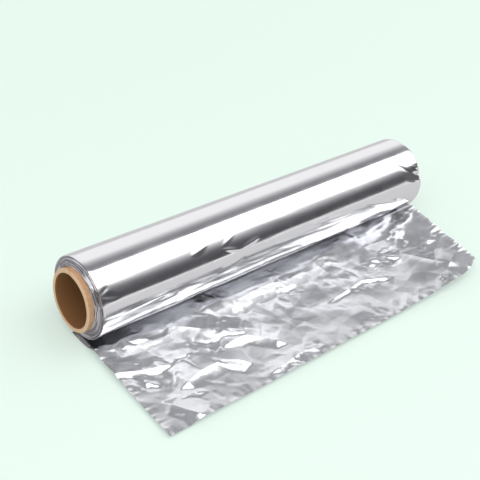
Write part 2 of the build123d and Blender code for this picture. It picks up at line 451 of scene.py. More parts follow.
@dataclass(frozen=True)
class Fold:
    """A ridge in the sheet that runs through a few points.

    Attributes:
        points: Places in shares of the sheet's width, from -X, and of its length, from the roll.
        rise: Height in millimetres.
        near: Width of the flank on the side of the cut edge, in millimetres.
        far: Width of the flank on the roll's side, in millimetres.
        curl: Power of the near flank's curve; above 1 it is steepest at the crest.
    """

    points: tuple[tuple[float, float], ...]
    rise: float
    near: float
    far: float
    curl: float = 1.4

    def legs(self, width: float, length: float) -> list[tuple[float, float, float, float, float]]:
        """Straight legs of the crest.

        Args:
            width: Width of the sheet.
            length: Length of the sheet.

        Returns:
            Place across and run of a leg's start and of its end, and the leg's size.
        """
        found = []
        for (u0, v0), (u1, v1) in zip(self.points, self.points[1:]):
            a0, r0, a1, r1 = u0 * width, v0 * length, u1 * width, v1 * length
            found.append((a0, r0, a1, r1, math.hypot(a1 - a0, r1 - r0)))
        return found

    def height(
        self, across: np.ndarray, run: np.ndarray, width: float, length: float, taper: float,
    ) -> np.ndarray:
        """Height of the ridge.

        Args:
            across: Places from the sheet's -X edge.
            run: Places in front of the axis.
            width: Width of the sheet.
            length: Length of the sheet.
            taper: How far the ridge runs out past its ends.

        Returns:
            Heights in millimetres, zero off the ridge.
        """
        best = np.zeros_like(across)
        for a0, r0, a1, r1, size in self.legs(width, length):
            da, dr = (a1 - a0) / size, (r1 - r0) / size
            along = (across - a0) * da + (run - r0) * dr
            side = (across - a0) * dr - (run - r0) * da
            past = np.maximum(0.0, np.maximum(-along, along - size))
            crest = np.maximum(1e-6, 1.0 - past / taper)
            back = np.maximum(0.0, crest - side / self.far)
            front = crest * (np.maximum(0.0, crest + side / self.near) / crest) ** self.curl
            best = np.maximum(best, np.where(side > 0.0, back, front))
        return self.rise * best

    def lines(self, width: float, length: float) -> list[tuple[float, float, float, float]]:
        """Straight lines along which the sheet bends: the crest, then the feet of both flanks.

        Args:
            width: Width of the sheet.
            length: Length of the sheet.

        Returns:
            Place across and run of both ends of each line.
        """
        found = []
        for offset in (0.0, self.far, -self.near):
            for a0, r0, a1, r1, size in self.legs(width, length):
                da, dr = (a1 - a0) / size * offset, (r1 - r0) / size * offset
                found.append((a0 + dr, r0 - da, a1 + dr, r1 - da))
        return found


@dataclass
class PaidOutSheet:
    """The length of web that lies in front of the roll, crumpled and lifted at one side.

    Places across the web are its X, and a place's run is how far it lies in front of the axis.

    Attributes:
        web_width: Width of the web.
        length: From the line under the axis to the cut edge.
        walk: How far the sheet lies past the roll's -X end.
        roll_radius: Outside of the wound turns.
        table: Height of the table, below the axis.
        gauge: Thickness as drawn; the real 0.015 mm would not show its edge.
        cell: Side of one mesh cell.
        corner_cut: How far the cut edge turns back at the +X corner.
        corner_run: Width over which it turns back.
        peel_angle: Degrees from the roll's lowest line to where the +X edge leaves the roll.
        peel_bend: Run over which the lifted sheet comes round from the roll.
        peel_root: How far its root stands in from the outside of the turns.
        edge_lift: Height of the +X edge near the roll.
        edge_fall: How much lower that edge is at the cut.
        lift_width_at_roll: Width of the lifted part near the roll.
        lift_width_at_cut: Width of the lifted part at the cut.
        fold_start: Run where the relief starts.
        fold_begin: Run over which it grows to its full height.
        fold_taper: How far a fold runs out past its ends.
        fold_share: Share of the folds' height that is built.
        bulge_rise: Height of the bulge in front of the roll.
        bulge_run: Run of its crest.
        bulge_near: Width of its flank on the side of the cut.
        bulge_fade: Share of it that is gone on the +X side.
        bulge_fade_width: Width over which that share goes.
        swell_rise: Height by which the sheet comes up towards the cut.
        swell_run: Run, and width at each side, over which it does.
        wave_rise: Height of the broad waves.
        wave_pitch: Distance between them.
        wave_at_roll: Share of them that is left near the roll.
        wave_from: Run where they start to grow.
        wave_over: Run over which they do.
        curl_rise: Height by which the slit -X edge curls up.
        curl_width: Width of that curl.
        facet_side: Usual side of the large flat facets.
        facet_rise: Greatest height of their corners.
        flake_side: Usual side of the small facets.
        flake_rise: Greatest height of their corners.
        scatter: How far a facet's corner strays from its net, in sides.
        crease_angle: Degrees from which an edge on a fold's line stays sharp.
        crimp_left: Height of the ripples along the -X edge.
        crimp_right: Height of the ripples along the +X edge.
        crimp_cut: Height of the ripples along the cut edge.
        seed: Number from which the facets and the handling creases are drawn.
        crease_bearing: Mean turn of the handling creases off the web's width, in radians, and
            its spread.
        crease_half: Least and greatest half length of such a crease.
        crease_flank: Least and greatest width of its flanks.
        crease_share: Least and greatest share of its patch's slope that it has.
        patches: Where handling has creased the sheet: place in shares of width and length, spread
            across and along, count of creases, and their slope.
        ridges: Folds that stand up.
        valleys: Folds that go down.
    """

    web_width: float = 300.0
    length: float = 103.0
    walk: float = 3.0
    roll_radius: float = 28.0
    table: float = -27.85
    gauge: float = 0.05
    cell: float = 0.85
    corner_cut: float = 8.0
    corner_run: float = 30.0
    peel_angle: float = 50.0
    peel_bend: float = 9.0
    peel_root: float = 1.5
    edge_lift: float = 13.6
    edge_fall: float = 6.8
    lift_width_at_roll: float = 30.0
    lift_width_at_cut: float = 97.0
    fold_start: float = 7.0
    fold_begin: float = 22.0
    fold_taper: float = 7.0
    fold_share: float = 0.84
    bulge_rise: float = 1.35
    bulge_run: float = 36.0
    bulge_near: float = 26.0
    bulge_fade: float = 0.65
    bulge_fade_width: float = 60.0
    swell_rise: float = 2.1
    swell_run: float = 38.0
    wave_rise: float = 1.0
    wave_pitch: float = 63.0
    wave_at_roll: float = 0.4
    wave_from: float = 16.0
    wave_over: float = 24.0
    curl_rise: float = 1.5
    curl_width: float = 20.0
    facet_side: float = 7.5
    facet_rise: float = 0.55
    flake_side: float = 3.2
    flake_rise: float = 0.07
    scatter: float = 0.42
    crease_angle: float = 8.0
    crimp_left: float = 0.20
    crimp_right: float = 0.34
    crimp_cut: float = 0.22
    seed: int = 11
    crease_bearing: tuple[float, float] = (-0.5, 0.7)
    crease_half: tuple[float, float] = (1.5, 6.0)
    crease_flank: tuple[float, float] = (1.2, 3.2)
    crease_share: tuple[float, float] = (0.4, 1.2)
    patches: tuple[tuple[float, float, float, float, int, float], ...] = (
        (0.060, 0.26, 12.0, 3.0, 14, 0.10), (0.045, 0.62, 9.0, 6.0, 16, 0.10),
        (0.250, 0.50, 8.0, 5.0, 12, 0.08), (0.270, 0.93, 16.0, 3.0, 12, 0.08),
        (0.370, 0.96, 9.0, 2.5, 14, 0.10), (0.450, 0.34, 12.0, 3.0, 6, 0.06),
        (0.500, 0.43, 7.0, 3.0, 8, 0.08), (0.700, 0.67, 12.0, 3.0, 10, 0.08),
        (0.770, 0.55, 10.0, 4.0, 9, 0.10), (0.840, 0.45, 11.0, 6.0, 12, 0.11),
        (0.920, 0.32, 10.0, 5.0, 9, 0.10), (0.910, 0.60, 5.0, 5.0, 10, 0.10),
        (0.780, 0.98, 26.0, 2.5, 14, 0.08), (0.560, 0.98, 20.0, 2.0, 10, 0.07),
        (0.100, 0.93, 14.0, 4.0, 10, 0.08),
    )
    ridges: tuple[Fold, ...] = (
        Fold(((0.003, 0.228), (0.043, 0.262), (0.093, 0.272), (0.143, 0.291), (0.193, 0.316)),
             2.45, 10.5, 16.0),
        Fold(((0.193, 0.316), (0.227, 0.394), (0.268, 0.485), (0.285, 0.544), (0.313, 0.583)),
             2.51, 11.0, 16.0),
        Fold(((0.264, 0.607), (0.310, 0.607), (0.335, 0.668), (0.362, 0.758)), 2.23, 8.0, 16.0),
        Fold(((0.200, 0.291), (0.227, 0.262), (0.252, 0.255), (0.277, 0.286)), 0.93, 4.0, 9.6),
        Fold(((0.293, 0.280), (0.327, 0.272), (0.360, 0.328), (0.418, 0.316), (0.481, 0.320)),
             2.42, 12.5, 16.0),
        Fold(((0.481, 0.320), (0.518, 0.297), (0.577, 0.320), (0.630, 0.291)), 2.42, 12.0, 16.0),
        Fold(((0.630, 0.291), (0.680, 0.262), (0.710, 0.233), (0.760, 0.228), (0.790, 0.223)),
             2.05, 10.5, 16.0),
        Fold(((0.006, 0.461), (0.043, 0.498), (0.073, 0.528), (0.102, 0.540)), 1.12, 4.5, 9.6),
        Fold(((0.110, 0.544), (0.140, 0.527), (0.168, 0.534)), 0.47, 2.0, 6.4),
        Fold(((0.114, 0.734), (0.160, 0.704), (0.218, 0.709), (0.252, 0.777)), 2.79, 10.0, 16.0),
        Fold(((0.052, 0.825), (0.085, 0.990)), 2.14, 8.0, 12.8),
        Fold(((0.064, 0.816), (0.097, 0.806), (0.118, 0.831)), 1.02, 4.0, 8.0),
        Fold(((0.302, 0.947), (0.335, 0.941), (0.377, 0.922), (0.422, 0.941)), 1.21, 4.5, 8.0),
        Fold(((0.791, 0.218), (0.840, 0.237), (0.875, 0.214), (0.907, 0.228)), 0.74, 3.0, 6.4),
        Fold(((0.812, 0.350), (0.853, 0.383), (0.877, 0.417), (0.892, 0.481)), 1.21, 12.0, 9.6),
        Fold(((0.753, 0.495), (0.785, 0.515), (0.820, 0.517), (0.842, 0.518)), 1.12, 7.0, 9.6),
        Fold(((0.577, 0.650), (0.647, 0.631), (0.689, 0.619), (0.727, 0.661), (0.756, 0.688)),
             0.93, 3.5, 16.0),
        Fold(((0.884, 0.343), (0.908, 0.321), (0.947, 0.242), (0.981, 0.203)), 0.74, 6.0, 9.6),
        Fold(((0.923, 0.857), (1.000, 0.762)), 0.84, 9.0, 11.2),
        Fold(((0.437, 0.345), (0.497, 0.350)), 0.35, 3.0, 3.0),
        Fold(((0.657, 1.000), (0.690, 0.910)), 0.4, 4.0, 4.0),
        Fold(((0.703, 1.000), (0.737, 0.920)), 0.4, 4.0, 4.0),
        Fold(((0.750, 0.990), (0.777, 0.930)), 0.3, 4.0, 3.0),
        Fold(((0.833, 1.000), (0.857, 0.940)), 0.4, 4.0, 4.0),
        Fold(((0.863, 0.990), (0.887, 0.930)), 0.4, 4.0, 4.0),
    )
    valleys: tuple[Fold, ...] = (
        Fold(((0.867, 0.621), (0.900, 0.776), (0.926, 0.698), (0.967, 0.625), (1.000, 0.592)),
             0.7, 6.0, 6.4),
    )

    @property
    def left(self) -> float:
        """Place of the -X edge."""
        return -self.web_width / 2 - self.walk

    @property
    def right(self) -> float:
        """Place of the +X edge."""
        return self.left + self.web_width

    def waves(self, x: np.ndarray, run: np.ndarray) -> np.ndarray:
        """Height of the broad soft waves of a sheet that isn't pulled flat.

        Args:
            x: Places across the web.
            run: Runs of those places.

        Returns:
            Heights in millimetres.
        """
        # The numbers in the sines only say where the waves lie and how they bend.
        turn = 2.0 * math.pi / self.wave_pitch
        bent = x + 9.0 * np.sin(run * 0.07 + 0.9) + 6.0 * np.sin(x * 0.043 + run * 0.03)
        cross = run + 8.0 * np.sin(x * 0.052 + 2.1) + 4.0 * np.sin(run * 0.09 - x * 0.02)
        total = np.sin(turn * (bent + 0.6 * cross)) + 0.7 * np.sin(turn * (1.7 * cross - 0.6 * bent) + 1.3)
        grown = smooth((run - self.wave_from) / self.wave_over)
        grown = self.wave_at_roll + (1.0 - self.wave_at_roll) * grown
        return self.wave_rise * (1.7 + total) / 3.4 * grown

    def bulge(self, x: np.ndarray, run: np.ndarray) -> np.ndarray:
        """Height of the bulge in front of the roll, which runs out towards +X.

        Args:
            x: Places across the web.
            run: Runs of those places.

        Returns:
            Heights in millimetres.
        """
        flank = np.where(run > self.bulge_run, self.bulge_near, self.bulge_run - self.fold_start)
        share = 1.0 - self.bulge_fade * smooth(x / self.bulge_fade_width)
        return self.bulge_rise * share * np.maximum(0.0, 1.0 - np.abs(run - self.bulge_run) / flank)

    def swell(self, x: np.ndarray, run: np.ndarray) -> np.ndarray:
        """Height by which the sheet comes up towards the cut edge, running out to both sides."""
        ends = smooth((x - self.left) / self.swell_run) * smooth((self.right - x) / self.swell_run)
        return self.swell_rise * ends * np.maximum(0.0, 1.0 - (self.length - run) / self.swell_run)

    def edge_curl(self, x: np.ndarray) -> np.ndarray:
        """Height by which the slit -X edge curls up."""
        return self.curl_rise * np.maximum(0.0, 1.0 - (x - self.left) / self.curl_width) ** 1.5

    def facets(self, x: np.ndarray, run: np.ndarray, side: float, rise: float) -> np.ndarray:
        """Height of small flat facets, each of its own tilt, on a net of scattered points.

        Args:
            x: Places across the web.
            run: Runs of those places.
            side: Usual side of a facet.
            rise: Greatest height of a corner.

        Returns:
            Heights in millimetres, never below zero.
        """
        rng = np.random.default_rng(self.seed + round(side))
        columns = round(self.web_width / side) + 3
        rows = round(self.length / side) + 3
        px, pr = np.meshgrid(np.arange(columns) - 1.0, np.arange(rows) - 1.0, indexing="ij")
        px = self.left + (px + rng.uniform(-self.scatter, self.scatter, px.shape)) * side
        pr = (pr + rng.uniform(-self.scatter, self.scatter, pr.shape)) * side
        heights = rng.uniform(0.0, rise, px.size)
        places = np.stack([px.ravel(), pr.ravel()], -1)
        net = delaunay_2d_cdt([Vector(place) for place in places.tolist()], [], [], 0, 1e-6)
        reach = 3.0 * side
        total = np.zeros_like(x)
        for face in net[2]:
            a, b, c = (net[3][corner][0] for corner in face)
            (ax, ar), (bx, br), (cx, cr) = places[a], places[b], places[c]
            size = (bx - ax) * (cr - ar) - (cx - ax) * (br - ar)
            near = (np.abs(x - ax) < reach) & (np.abs(run - ar) < reach)
            to_b = ((x[near] - ax) * (cr - ar) - (cx - ax) * (run[near] - ar)) / size
            to_c = ((bx - ax) * (run[near] - ar) - (x[near] - ax) * (br - ar)) / size
            inside = (to_b >= 0.0) & (to_c >= 0.0) & (to_b + to_c <= 1.0)
            level = heights[a] + (heights[b] - heights[a]) * to_b + (heights[c] - heights[a]) * to_c
            total[near] = np.where(inside, level, total[near])
        return total

    def lift(self, x: np.ndarray, run: np.ndarray) -> np.ndarray:
        """Height of the underside where the +X side peels up off the table.

        Args:
            x: Places across the web.
            run: Runs of those places.

        Returns:
            Heights in millimetres.
        """
        spread = (self.lift_width_at_cut - self.lift_width_at_roll) * run / self.length
        share = smooth(1.0 - (self.right - x) / (self.lift_width_at_roll + spread))
        angle = np.radians(self.peel_angle * share)
        leave_run = self.roll_radius * np.sin(angle)
        leave_height = np.maximum(0.0, -self.table - self.roll_radius * np.cos(angle))
        fall = self.edge_fall * np.maximum(0.0, run - leave_run) / (self.length - leave_run)
        level = share * (self.edge_lift - fall)
        bend = (run - leave_run) / self.peel_bend
        turn = self.roll_radius - self.peel_root * np.minimum(1.0, np.maximum(0.0, -bend))
        root = np.maximum(0.0, -self.table - np.sqrt(np.maximum(0.0, turn ** 2 - run ** 2)))
        t = np.clip(bend, 0.0, 1.0)
        eased = smooth(t)
        arch = leave_height * (1.0 - eased) + level * eased
        arch = arch + np.tan(angle) * self.peel_bend * t * (1.0 - t) ** 2
        return np.where(bend <= 0.0, root, np.where(bend >= 1.0, level, arch))

    def handling(self, x: np.ndarray, run: np.ndarray) -> np.ndarray:
        """Height of the small creases that handling leaves in the patches.

        Args:
            x: Places across the web.
            run: Runs of those places.

        Returns:
            Heights in millimetres, below zero in a crease that goes down.
        """
        rng = np.random.default_rng(self.seed)
        total = np.zeros_like(x)
        for u, v, wide, deep, count, slope in self.patches:
            for _ in range(count):
                cx = self.left + u * self.web_width + rng.normal(0.0, wide)
                cr = v * self.length + rng.normal(0.0, deep)
                bearing = rng.normal(*self.crease_bearing)
                half = rng.uniform(*self.crease_half)
                flank = rng.uniform(*self.crease_flank)
                rise = slope * flank * rng.uniform(*self.crease_share) * rng.choice((-1.0, 1.0))
                near = (np.abs(x - cx) < half + flank) & (np.abs(run - cr) < half + flank)
                px, pr = x[near] - cx, run[near] - cr
                along = px * math.cos(bearing) - pr * math.sin(bearing)
                across = px * math.sin(bearing) + pr * math.cos(bearing)
                past = np.maximum(0.0, np.abs(along) - half)
                total[near] += rise * np.maximum(0.0, 1.0 - np.abs(across) / flank - past / flank)
        return total

    def edge_crimp(self, x: np.ndarray, run: np.ndarray) -> np.ndarray:
        """Height of the small ripples along the slit edges and the cut edge.

        Args:
            x: Places across the web.
            run: Runs of those places.

        Returns:
            Heights in millimetres.
        """
        # Distance from the edge, how far in the ripples reach, and the wandering place of each ripple.
        left = (x - self.left, 2.4 + 1.2 * np.sin(run * 0.41 + 0.5) + 0.6 * np.sin(run * 0.97),
                run * 1.05 + 2.1 * np.sin(run * 0.29), run * 2.3 + 1.7 * np.sin(run * 0.51))
        right = (self.right - x, 3.0 + 1.4 * np.sin(run * 0.31 + 2.0) + 0.7 * np.sin(run * 0.83),
                 run * 0.92 + 2.3 * np.sin(run * 0.23), run * 1.9 + 1.9 * np.sin(run * 0.47))
        cut = (self.cut_line(x) - run, 2.6 + 1.2 * np.sin(x * 0.13),
               x * 0.47 + 2.4 * np.sin(x * 0.09), x * 1.07 + 1.4 * np.sin(x * 0.21))
        total = np.zeros_like(x)
        for rise, edge in ((self.crimp_left, left), (self.crimp_right, right), (self.crimp_cut, cut)):
            inwards, reach, coarse, fine = edge
            total += rise * (np.exp(-inwards / reach) * (np.sin(coarse) + 0.5 * np.sin(fine)))
        return total

    def cut_line(self, x: np.ndarray) -> np.ndarray:
        """Run of the cut edge, which turns back at the +X corner."""
        back = np.maximum(0.0, 1.0 - (self.right - x) / self.corner_run)
        return self.length - self.corner_cut * back ** 2

    def height(self, x: np.ndarray, run: np.ndarray) -> np.ndarray:
        """Height of the sheet's underside above the table.

        Args:
            x: Places across the web.
            run: Runs of those places.

        Returns:
            Heights in millimetres, never below the table.
        """
        size = (x - self.left, run, self.web_width, self.length, self.fold_taper)
        folds = self.fold_share * np.maximum.reduce([ridge.height(*size) for ridge in self.ridges])
        folds = folds - sum(valley.height(*size) for valley in self.valleys)
        begun = smooth((run - self.fold_start) / self.fold_begin)
        broad = self.waves(x, run) + self.bulge(x, run) + self.swell(x, run) + self.edge_curl(x)
        crumple = self.facets(x, run, self.facet_side, self.facet_rise)
        crumple = crumple + self.facets(x, run, self.flake_side, self.flake_rise)
        relief = folds + broad + crumple + self.handling(x, run) + self.edge_crimp(x, run)
        return self.lift(x, run) + begun * np.maximum(0.0, relief)

    def aligned(self, x: np.ndarray, run: np.ndarray) -> tuple[np.ndarray, np.ndarray, np.ndarray]:
        """Move points of the grid onto the folds' lines, so that each crease runs straight.

        Args:
            x: Places across the web.
            run: Runs of those places.

        Returns:
            The new places and runs, and flags of the points that lie on a line or on the border.
        """
        columns, rows = x.shape
        across = self.web_width / (columns - 1)
        down = self.length / (rows - 1)
        moved_x, moved_run = x.copy(), run.copy()
        on_line = np.ones(x.shape, dtype=bool)
        on_line[1:-1, 1:-1] = False
        lines = [fold.lines(self.web_width, self.length) for fold in self.ridges + self.valleys]
        crests = [line for found in lines for line in found[:len(found) // 3]]
        feet = [line for found in lines for line in found[len(found) // 3:]]
        for a0, r0, a1, r1 in crests + feet:
            runs_across = abs(a1 - a0) >= abs(r1 - r0)
            if runs_across:
                i = inner_numbers(a0, a1, across, columns)
                target = r0 + (i * across - a0) * (r1 - r0) / (a1 - a0)
                j = np.rint(target / run[i, -1] * (rows - 1)).astype(int)
            else:
                j = inner_numbers(r0, r1, down, rows)
                i = np.rint((a0 + (j * down - r0) * (a1 - a0) / (r1 - r0)) / across).astype(int)
            free = (i > 0) & (i < columns - 1) & (j > 0) & (j < rows - 1)
            i, j = i[free], j[free]
            free = ~on_line[i, j]
            i, j = i[free], j[free]
            if runs_across:
                moved_run[i, j] = r0 + (i * across - a0) * (r1 - r0) / (a1 - a0)
            else:
                moved_x[i, j] = self.left + a0 + (run[i, j] - r0) * (a1 - a0) / (r1 - r0)
            on_line[i, j] = True
        # Points that turned a cell over go back, which may spoil a neighbour, so it is done again.
        for _ in range(4):
            spoilt = self.turned_over(moved_x, moved_run)
            moved_x[spoilt] = x[spoilt]
            moved_run[spoilt] = run[spoilt]
            on_line[1:-1, 1:-1] &= ~spoilt[1:-1, 1:-1]
        return moved_x, moved_run, on_line

    def turned_over(self, x: np.ndarray, run: np.ndarray) -> np.ndarray:
        """Flag the points of every cell that has a corner of about 180 degrees or more.

        Args:
            x: Places across the web.
            run: Runs of those places.

        Returns:
            One flag for each point of the grid.
        """
        start, end = slice(None, -1), slice(1, None)
        cell = ((start, start), (start, end), (end, end), (end, start))
        corners = [(x[corner], run[corner]) for corner in cell]
        bad = np.zeros(corners[0][0].shape, dtype=bool)
        for k in range(4):
            (bx, br), (px, pr), (nx, nr) = corners[k - 1], corners[k], corners[(k + 1) % 4]
            turn = (px - bx) * (nr - pr) - (nx - px) * (pr - br)
            bad |= -turn < 0.03 * self.cell ** 2
        flags = np.zeros(x.shape, dtype=bool)
        for corner in cell:
            flags[corner] |= bad
        return flags

    def split(self, x: np.ndarray, run: np.ndarray, level: np.ndarray) -> np.ndarray:
        """Cut each cell of the grid in two along the diagonal that follows the sheet best.

        Args:
            x: Places across the web.
            run: Runs of those places.
            level: Heights at those places.

        Returns:
            One row of three vertex numbers for each triangle, seen from above.
        """
        middle_x, middle_run = (
            (v[:-1, :-1] + v[1:, 1:] + v[:-1, 1:] + v[1:, :-1]) / 4.0 for v in (x, run))
        middle = self.height(middle_x, middle_run)
        one_way = np.abs((level[:-1, :-1] + level[1:, 1:]) / 2.0 - middle)
        other_way = np.abs((level[:-1, 1:] + level[1:, :-1]) / 2.0 - middle)
        a, b, c, d = grid_faces(*x.shape).T
        first = (one_way <= other_way).ravel()
        upper = np.where(first, c, d)
        lower = np.where(first, a, b)
        return np.concatenate([np.stack([a, b, upper], -1), np.stack([lower, c, d], -1)])

    def build(self) -> bpy.types.Object:
        """Build the sheet as one closed mesh: upper face, underside and the thin edge.

        Returns:
            The sheet, with material 0 above and material 1 below.
        """
        columns = round(self.web_width / self.cell) + 1
        rows = round(self.length / self.cell) + 1
        x = np.repeat(np.linspace(self.left, self.right, columns)[:, None], rows, axis=1)
        run = self.cut_line(x) * np.linspace(0.0, 1.0, rows)[None, :]
        x, run, on_line = self.aligned(x, run)
        level = self.height(x, run)
        under = self.table + level
        upper = under + self.gauge
        points = np.concatenate([np.stack([x, -run, z], -1).reshape(-1, 3) for z in (upper, under)]) * MM
        count = columns * rows
        rim = [i * rows for i in range(columns)] + [(columns - 1) * rows + j for j in range(1, rows)]
        rim += [i * rows + rows - 1 for i in range(columns - 2, -1, -1)] + list(range(rows - 2, 0, -1))
        ring = np.array(rim)
        after = np.roll(ring, -1)
        cells = self.split(x, run, level)
        faces = np.concatenate([
            cells, cells[:, ::-1] + count,
            np.stack([ring, after, after + count], -1), np.stack([ring, after + count, ring + count], -1),
        ])
        piece = mesh_piece(
            "foil_sheet", points, faces, crease=self.crease_angle, creased=np.tile(on_line.ravel(), 2))
        marks = np.ones(len(piece.data.polygons), dtype=np.int32)
        marks[:len(cells)] = 0
        piece.data.polygons.foreach_set("material_index", marks)
        return piece

    def dress(self, piece: bpy.types.Object, matt: bpy.types.Material, bright: bpy.types.Material) -> None:
        """Give the sheet its matt upper face and bright underside, and tie it to the frame.

        Args:
            piece: The sheet.
            matt: The upper face's material.
            bright: The underside's material.
        """
        piece.data.materials.append(matt)
        piece.data.materials.append(bright)
        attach(piece, "root")
        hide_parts("foil")


@dataclass
class WoundTurns:
    """The turns left on the roll: a spiral web inside, and the last turn as its own skin.

    Places along the roll are its X, and a bearing is the degrees above the horizontal on the
    sheet's side, seen from the axis.

    Attributes:
        web_width: Width of the web.
        telescope: How far the first turns have slid out past the last one at the -X end.
        inner_radius: Radius of the first turn.
        outer_radius: Radius of the last turn.
        turns: Count of turns drawn; the real roll has hundreds.
        wander: How far a turn's edge stands out of line.
        wander_gain: Wander of one edge for each unit of its noise.
        slide_width: Length at the -X end over which the slide grows to its full size.
        fill: Share of the pitch that a drawn turn fills.
        flat_spot: How far the last turn is pressed flat below.
        skin: Thickness of the skin as drawn; it stands for the last few turns together.
        rim: Length of its rounded rim.
        rim_fall: How far the rim is rounded off.
        dent_bearing: Bearing of the crushed place on the +X rim.
        dent_reach: How far that place reaches along the roll.
        dent_width: Half its width round the rim.
        dent_shift: How far its inner end leans up round the roll.
        dent_depth: Its depth.
        dent_fold: Depth of the small folds in it.
        dent_fold_width: Half the width round the rim that has them.
        front: Bearing of the middle of the wrinkled front, degrees from there to its edge, and
            degrees over which it fades into the plain back.
        back_shrink: How much smaller the back's radius is.
        top: Bearing of the top, and degrees to each side where nothing stands proud.
        swells: Long soft waves of the last turn: height, waves round, waves along, how far they
            bend, how fast they bend along the roll, and the shifts of the wave and of its bend.
        wrinkles: Lens-shaped wrinkles of the last turn: place along the roll, bearing, half
            length, flank, height, and degrees that they lean from the roll's line.
        columns: Count of vertices along the outside of the last turn.
        inner_columns: Count of vertices along its inside.
        around: Count of vertices round it.
        seed: Number that shifts the wander's noise.
    """

    web_width: float = 300.0
    telescope: float = 2.8
    inner_radius: float = 22.06
    outer_radius: float = 28.0
    turns: int = 22
    wander: float = 1.0
    wander_gain: float = 3.4
    slide_width: float = 20.0
    fill: float = 0.86
    flat_spot: float = 0.15
    skin: float = 0.50
    rim: float = 0.8
    rim_fall: float = 0.25
    dent_bearing: float = 31.0
    dent_reach: float = 19.0
    dent_width: float = 6.5
    dent_shift: float = 1.5
    dent_depth: float = 1.35
    dent_fold: float = 0.25
    dent_fold_width: float = 8.0
    front: tuple[float, float, float] = (20.0, 100.0, 25.0)
    back_shrink: float = 0.06
    top: tuple[float, float] = (90.0, 25.0)
    swells: tuple[tuple[float, ...], ...] = (
        (0.030, 0.21, 0.0, 0.6, 0.031, 0.4, 0.0),
        (0.022, 0.47, -0.012, 1.1, 0.017, 0.0, 2.0),
        (0.012, 0.9, 0.05, 1.4, 0.043, 0.0, 0.0),
    )
    wrinkles: tuple[tuple[float, ...], ...] = (
        (-72.0, 47.0, 8.0, 3.0, 0.42, 12.0), (-47.0, 32.0, 9.0, 1.8, 0.36, -16.0),
        (-31.0, 30.5, 12.0, 2.0, 0.34, 9.0), (-48.0, 45.0, 7.0, 2.0, 0.24, 20.0),
        (50.0, 16.5, 26.0, 2.4, 0.30, -5.0), (-49.0, 8.0, 14.0, 6.0, 0.34, 18.0),
        (-143.0, 35.0, 7.0, 3.0, -0.45, -14.0), (-146.5, 44.0, 4.0, 2.0, -0.35, 25.0),
        (137.0, 72.0, 7.0, 1.8, 0.28, 8.0), (131.0, 50.0, 9.0, 2.6, -0.40, -35.0),
        (108.0, 4.0, 26.0, 3.0, 0.40, -16.0), (-120.0, 5.0, 22.0, 3.0, 0.20, 4.0),
        (-100.0, -3.0, 16.0, 2.6, 0.18, -6.0),
    )
    columns: int = 301
    inner_columns: int = 31
    around: int = 240
    seed: int = 5

    def spiral_tree(self) -> bpy.types.NodeTree:
        """Build the node tree that winds the web: a spiral swept with the web's section.

        Returns:
            The tree, with a named input for each size.
        """
        tree = bpy.data.node_groups.new("wound_web", "GeometryNodeTree")
        sizes = {
            "Inner Radius": self.inner_radius * MM,
            "Outer Radius": (self.outer_radius - self.skin) * MM,
            "Turns": float(self.turns),
            "Web Width": (self.web_width - 2.0 * self.wander) * MM,
            "Wander": self.wander * MM,
            "Seed": float(self.seed),
        }
        for name, value in sizes.items():
            item = tree.interface.new_socket(name, in_out="INPUT", socket_type="NodeSocketFloat")
            item.default_value = value
        tree.interface.new_socket("Material", in_out="INPUT", socket_type="NodeSocketMaterial")
        tree.interface.new_socket("Geometry", in_out="OUTPUT", socket_type="NodeSocketGeometry")
        given = add(tree, "NodeGroupInput").outputs
        spiral = add(tree, "GeometryNodeCurveSpiral", {
            "Resolution": 96, "Rotations": given["Turns"], "Start Radius": given["Inner Radius"],
            "End Radius": given["Outer Radius"], "Height": 0.0,
        })

        factor = add(tree, "GeometryNodeSplineParameter").outputs["Factor"]
        wound = add(tree, "ShaderNodeMath", {0: factor, 1: given["Turns"]}, operation="MULTIPLY")
        seeded = add(tree, "ShaderNodeMath", {0: wound, 1: given["Seed"]}, operation="ADD")
        wave = add(tree, "ShaderNodeTexNoise", {
            "W": seeded, "Scale": 0.55, "Detail": 3.0, "Roughness": 0.8,
        }, noise_dimensions="1D")
        centred = add(tree, "ShaderNodeMath", {0: wave, 1: 0.5}, operation="SUBTRACT")
        gain = add(tree, "ShaderNodeMath", {0: given["Wander"], 1: self.wander_gain}, operation="MULTIPLY")
        shift = add(tree, "ShaderNodeMath", {0: centred, 1: gain}, operation="MULTIPLY")
        marked = add(tree, "GeometryNodeStoreNamedAttribute", {
            "Geometry": spiral, "Name": "wander", "Value": shift,
        }, data_type="FLOAT", domain="POINT")

        upright = add(tree, "GeometryNodeSetCurveNormal", {"Curve": marked}, mode="Z_UP")
        wall = add(tree, "ShaderNodeMath", {
            0: given["Outer Radius"], 1: given["Inner Radius"],
        }, operation="SUBTRACT")
        pitch = add(tree, "ShaderNodeMath", {0: wall, 1: given["Turns"]}, operation="DIVIDE")
        gauge = add(tree, "ShaderNodeMath", {0: pitch, 1: self.fill}, operation="MULTIPLY")
        section = add(tree, "GeometryNodeCurvePrimitiveQuadrilateral", {
            "Width": gauge, "Height": given["Web Width"],
        })
        web = add(tree, "GeometryNodeCurveToMesh", {
            "Curve": upright, "Profile Curve": section, "Fill Caps": True,
        })
        kept = add(tree, "GeometryNodeInputNamedAttribute", {"Name": "wander"}, data_type="FLOAT")
        offset = add(tree, "ShaderNodeCombineXYZ", {"Z": kept})
        moved = add(tree, "GeometryNodeSetPosition", {"Geometry": web, "Offset": offset})
        laid = add(tree, "GeometryNodeTransform", {
            "Geometry": moved, "Rotation": (0.0, math.radians(90.0), 0.0),
        })
        real = add(tree, "GeometryNodeRealizeInstances", {"Geometry": laid})
        dressed = add(tree, "GeometryNodeSetMaterial", {"Geometry": real, "Material": given["Material"]})
        add(tree, "NodeGroupOutput", {"Geometry": dressed})
        return tree

